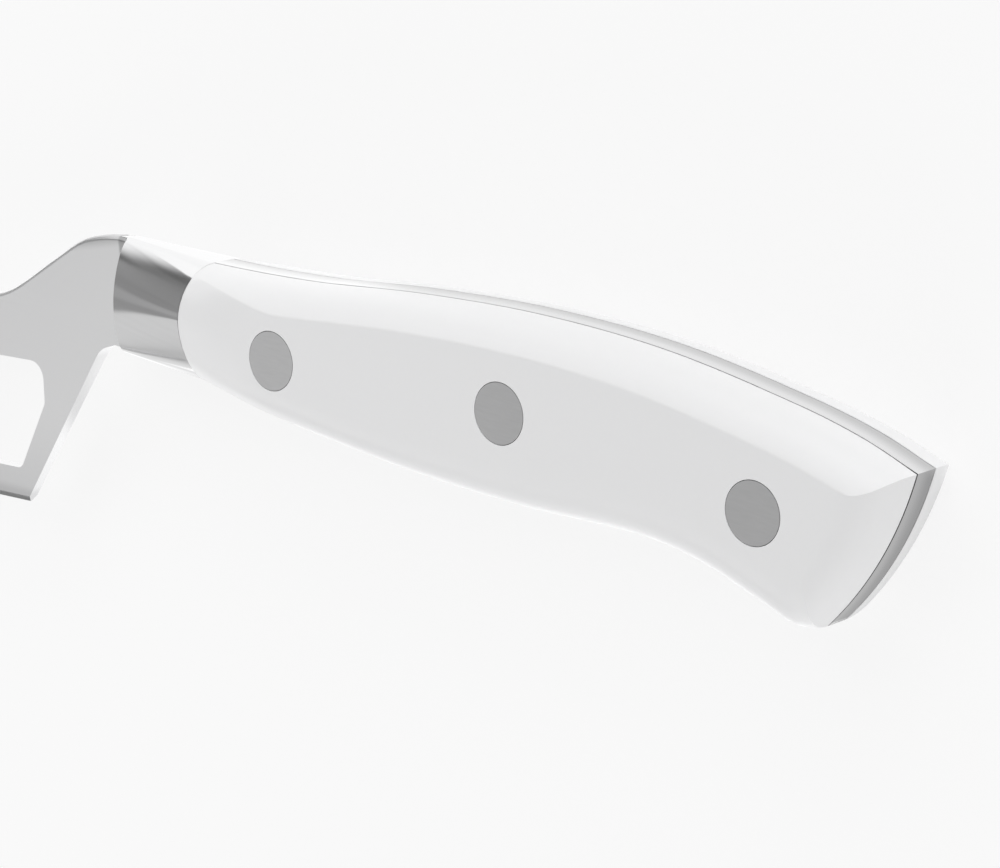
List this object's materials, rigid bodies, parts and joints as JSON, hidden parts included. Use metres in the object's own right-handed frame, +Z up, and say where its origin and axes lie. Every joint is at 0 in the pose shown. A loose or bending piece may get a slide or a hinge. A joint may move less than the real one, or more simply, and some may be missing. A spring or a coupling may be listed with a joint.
{
  "type": "cheese knife",
  "caption": "Forged full-tang cheese knife with an openwork offset blade, a forked tip, a bolster and riveted white handle scales.",
  "frame": {"origin": "on the resting flat of the right handle scale, midway between the front and the middle rivet", "axes": "+X along the rivet line from the tip to the butt, +Y from the cutting edge to the spine, +Z up out of the resting flat"},
  "size_m": [0.2795, 0.0598, 0.018],
  "materials": {
    "forged_steel": "satin ground and polished stainless steel",
    "white_plastic": "smooth white moulded plastic",
    "rivet_steel": "fine satin, ground flush"
  },
  "bodies": {
    "root": {"blade_and_tang": "forged_steel", "left_scale": "white_plastic", "right_scale": "white_plastic", "front_rivet_tube": "rivet_steel", "front_rivet_pin": "rivet_steel", "middle_rivet_tube": "rivet_steel", "middle_rivet_pin": "rivet_steel", "rear_rivet_tube": "rivet_steel", "rear_rivet_pin": "rivet_steel"}
  },
  "joints": []
}
